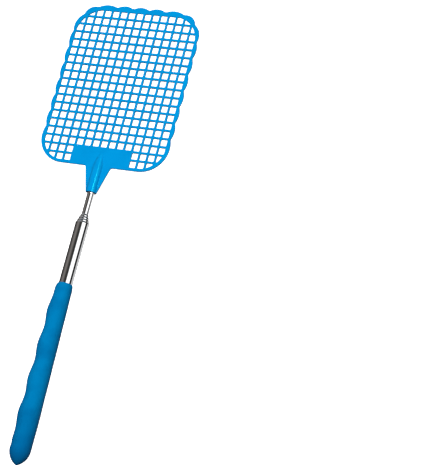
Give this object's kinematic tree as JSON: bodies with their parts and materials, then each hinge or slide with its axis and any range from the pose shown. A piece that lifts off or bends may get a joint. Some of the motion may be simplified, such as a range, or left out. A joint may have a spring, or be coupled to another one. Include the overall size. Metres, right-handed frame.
{
  "type": "telescopic fly swatter",
  "caption": "Telescopic fly swatter with a square-hole plastic grid head, nested steel tubes that slide and turn, and a soft grip with finger bumps.",
  "frame": {"origin": "under the middle of the closed length, on the handle's middle plane, at the level of the surface that the grip lies on", "axes": "+Y up the handle to the head, +Z out of the front striking face, +X across the head; the grip's finger bumps face -X"},
  "size_m": [0.1012, 0.35, 0.0161],
  "materials": {
    "head_plastic": "semi-gloss moulded polypropylene",
    "grip_rubber": "matt soft vinyl with a fine grain",
    "polished_tube": "bright polished stainless tube",
    "turned_steel": "turned",
    "brass_ring": "turned",
    "spring_bronze": "rolled strip",
    "plug_plastic": "moulded"
  },
  "bodies": {
    "handle": {"grip_sleeve": "grip_rubber", "outer_tube": "polished_tube", "tube_end_plug": "plug_plastic"},
    "second_section": {"second_tube": "polished_tube", "second_tube_foot": "brass_ring", "second_tube_shoe_a": "spring_bronze", "second_tube_shoe_b": "spring_bronze"},
    "third_section": {"third_tube": "polished_tube", "third_tube_foot": "brass_ring", "third_tube_shoe_a": "spring_bronze", "third_tube_shoe_b": "spring_bronze"},
    "fourth_section": {"fourth_tube": "polished_tube", "fourth_tube_foot": "brass_ring", "fourth_tube_shoe_a": "spring_bronze", "fourth_tube_shoe_b": "spring_bronze"},
    "rod_carrier": {"head_rod_foot": "brass_ring", "head_rod_shoe_a": "spring_bronze", "head_rod_shoe_b": "spring_bronze"},
    "rod_and_head": {"head_rod": "polished_tube", "rod_pivot_stud": "turned_steel", "head_grid": "head_plastic", "head_neck": "head_plastic"}
  },
  "joints": [
    {"name": "second_section_slide", "type": "slide", "parent": "handle", "child": "second_section", "axis": [0, 1, 0], "range_m": [0, 0.1444]},
    {"name": "third_section_slide", "type": "slide", "parent": "second_section", "child": "third_section", "axis": [0, 1, 0], "range_m": [0, 0.1339]},
    {"name": "fourth_section_slide", "type": "slide", "parent": "third_section", "child": "fourth_section", "axis": [0, 1, 0], "range_m": [0, 0.1235]},
    {"name": "rod_slide", "type": "slide", "parent": "fourth_section", "child": "rod_carrier", "axis": [0, 1, 0], "range_m": [0, 0.1119]},
    {"name": "head_swivel", "type": "hinge", "parent": "rod_carrier", "child": "rod_and_head", "pos_m": [0, -0.1136, 0.00804], "axis": [0, 1, 0], "continuous": true}
  ]
}
